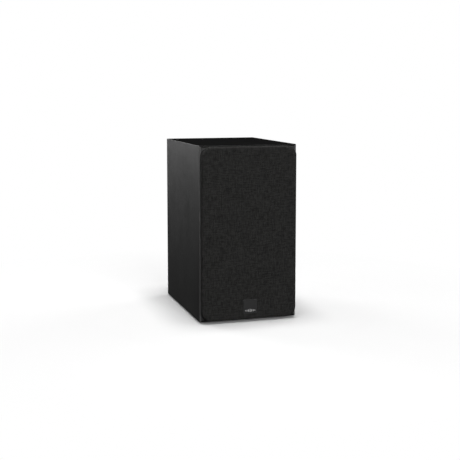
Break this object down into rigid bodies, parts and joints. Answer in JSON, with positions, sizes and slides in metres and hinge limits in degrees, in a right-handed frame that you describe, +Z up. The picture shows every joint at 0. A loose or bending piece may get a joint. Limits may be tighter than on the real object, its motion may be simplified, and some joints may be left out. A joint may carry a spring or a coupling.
{
  "type": "bookshelf loudspeaker",
  "caption": "Black two-way bookshelf loudspeaker: box cabinet with pull-off cloth grille, woofer, dome tweeter, rear reflex port, binding posts and wall hanger.",
  "frame": {"origin": "centre of the footprint, at the underside of the four feet", "axes": "+Z up, the grille and drivers face -Y, +X is to the right seen from the front"},
  "size_m": [0.168, 0.238, 0.294],
  "materials": {
    "black_ash_vinyl": "satin",
    "black_board": "matte",
    "black_plastic": "satin",
    "grille_cloth": "matte",
    "wadding": "matte",
    "soft_rubber": "matte",
    "silk": "satin",
    "spider_cloth": "matte",
    "cone_paper": "matte",
    "coated_steel": "satin",
    "zinc_steel": "satin",
    "ferrite": "matte",
    "black_screw": "satin",
    "silver_inlay": "satin",
    "gilt_brass": "polished",
    "copper": "satin",
    "red_plastic": "gloss",
    "knob_black": "gloss",
    "red_insulation": "satin",
    "black_insulation": "satin",
    "board_green": "satin",
    "bobbin_nylon": "matte",
    "capacitor_sleeve": "satin",
    "resistor_cement": "matte"
  },
  "bodies": {
    "cabinet": {"bottom_panel": "black_ash_vinyl", "right_side_panel": "black_ash_vinyl", "top_panel": "black_ash_vinyl", "left_side_panel": "black_ash_vinyl", "front_baffle": "black_board", "rear_panel": "black_board", "rubber_feet": "soft_rubber", "grille_sockets": "soft_rubber", "driver_screws": "black_screw", "driver_gaskets": "soft_rubber", "woofer_basket": "coated_steel", "woofer_surround": "soft_rubber", "woofer_spider": "spider_cloth", "woofer_top_plate": "zinc_steel", "woofer_magnet": "ferrite", "woofer_yoke": "zinc_steel", "woofer_terminal_board": "black_plastic", "driver_terminal_tags": "zinc_steel", "woofer_tinsel_leads": "copper", "tweeter_faceplate": "black_plastic", "tweeter_surround": "silk", "tweeter_top_plate": "zinc_steel", "tweeter_magnet": "ferrite", "tweeter_yoke": "zinc_steel", "tweeter_rear_chamber": "black_plastic", "reflex_port": "black_plastic", "terminal_cup": "black_plastic", "terminal_gasket": "soft_rubber", "rear_screws": "black_screw", "hanger_plate": "coated_steel", "post_insulators": "black_plastic", "post_studs": "gilt_brass", "post_solder_tags": "zinc_steel", "post_nuts": "zinc_steel", "red_wiring": "red_insulation", "black_wiring": "black_insulation", "crossover_board": "board_green", "crossover_fixings": "zinc_steel", "inductor_bobbins": "bobbin_nylon", "inductor_windings": "copper", "capacitors": "capacitor_sleeve", "resistors": "resistor_cement", "wadding_pads": "wadding"},
    "grille": {"grille_frame": "black_plastic", "grille_cloth": "grille_cloth", "grille_pegs": "black_plastic", "grille_badge": "black_plastic", "badge_inlay": "silver_inlay"},
    "woofer_diaphragm": {"woofer_cone": "cone_paper", "woofer_dust_cap": "cone_paper", "woofer_voice_coil": "copper"},
    "tweeter_diaphragm": {"tweeter_dome": "silk", "tweeter_voice_coil": "copper"},
    "red_clamp_washer": {"red_knob_washer": "gilt_brass"},
    "red_clamp_knob": {"red_knob": "red_plastic", "red_knob_insert": "gilt_brass"},
    "black_clamp_washer": {"black_knob_washer": "gilt_brass"},
    "black_clamp_knob": {"black_knob": "knob_black", "black_knob_insert": "gilt_brass"}
  },
  "joints": [
    {"name": "grille_pull", "type": "slide", "parent": "cabinet", "child": "grille", "axis": [0, -1, 0], "range_m": [0, 0.04]},
    {"name": "woofer_stroke", "type": "slide", "parent": "cabinet", "child": "woofer_diaphragm", "axis": [0, -1, 0], "range_m": [-0.005, 0.005], "stiffness_N_per_m": 900, "deforming": ["woofer_surround", "woofer_spider", "woofer_tinsel_leads"]},
    {"name": "tweeter_stroke", "type": "slide", "parent": "cabinet", "child": "tweeter_diaphragm", "axis": [0, -1, 0], "range_m": [-0.0004, 0.0004], "stiffness_N_per_m": 2000, "deforming": ["tweeter_surround"]},
    {"name": "red_washer_travel", "type": "slide", "parent": "cabinet", "child": "red_clamp_washer", "axis": [0, 1, 0], "range_m": [0, 0.005]},
    {"name": "red_knob_turn", "type": "hinge", "parent": "red_clamp_washer", "child": "red_clamp_knob", "pos_m": [0.019, 0.1, 0.072], "axis": [0, 1, 0], "range_deg": [0, 1800]},
    {"name": "black_washer_travel", "type": "slide", "parent": "cabinet", "child": "black_clamp_washer", "axis": [0, 1, 0], "range_m": [0, 0.005]},
    {"name": "black_knob_turn", "type": "hinge", "parent": "black_clamp_washer", "child": "black_clamp_knob", "pos_m": [-0.019, 0.1, 0.072], "axis": [0, 1, 0], "range_deg": [0, 1800]}
  ],
  "couplings": [
    {"joint": "red_washer_travel", "follows": "red_knob_turn", "m_per_rad": 0.00015915},
    {"joint": "black_washer_travel", "follows": "black_knob_turn", "m_per_rad": 0.00015915}
  ]
}
